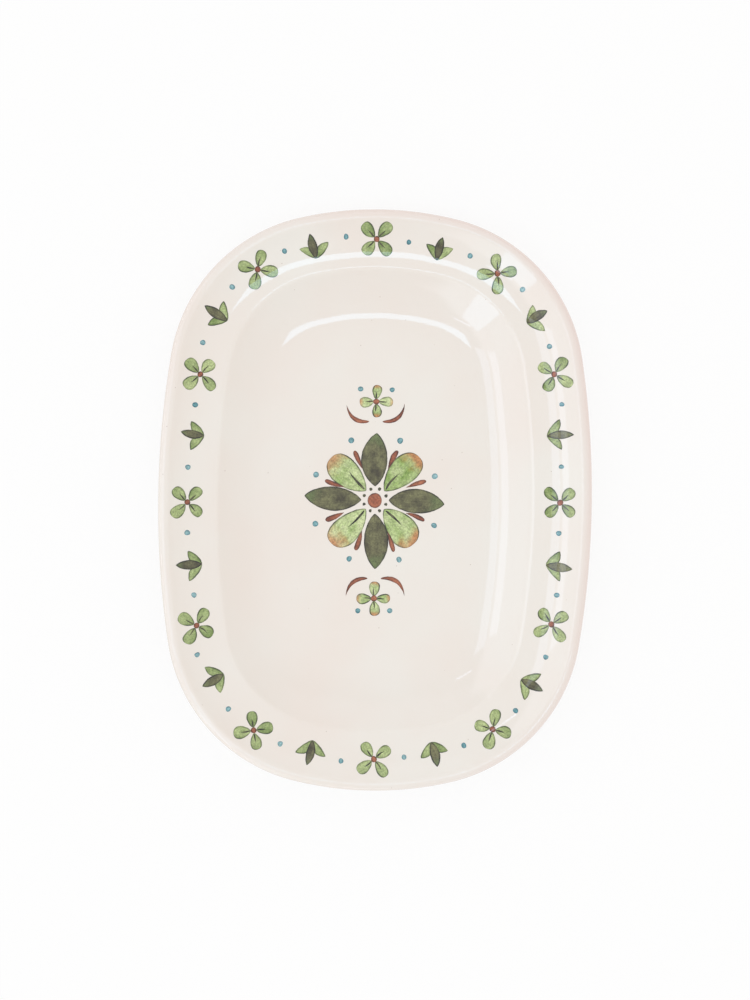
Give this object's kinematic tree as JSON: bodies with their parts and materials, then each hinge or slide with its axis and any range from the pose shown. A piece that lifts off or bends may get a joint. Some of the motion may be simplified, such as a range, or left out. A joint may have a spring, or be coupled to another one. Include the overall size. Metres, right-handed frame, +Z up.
{
  "type": "olive dish",
  "caption": "Shallow oblong dish in glazed earthenware with a hollow rim, a rounded lip and a bare foot ring, for serving olives and other small food at table.",
  "frame": {"origin": "middle of the plane that the foot ring stands on", "axes": "+Z up out of the dish, +Y along its length, +X across its width"},
  "size_m": [0.2, 0.268, 0.0286],
  "materials": {
    "biscuit": "matt, unglazed fired clay",
    "cream_glaze": "gloss, clear glaze over cream clay"
  },
  "bodies": {
    "root": {"dish_body": "biscuit", "glaze_coat": "cream_glaze", "base_glaze": "cream_glaze"}
  },
  "joints": []
}
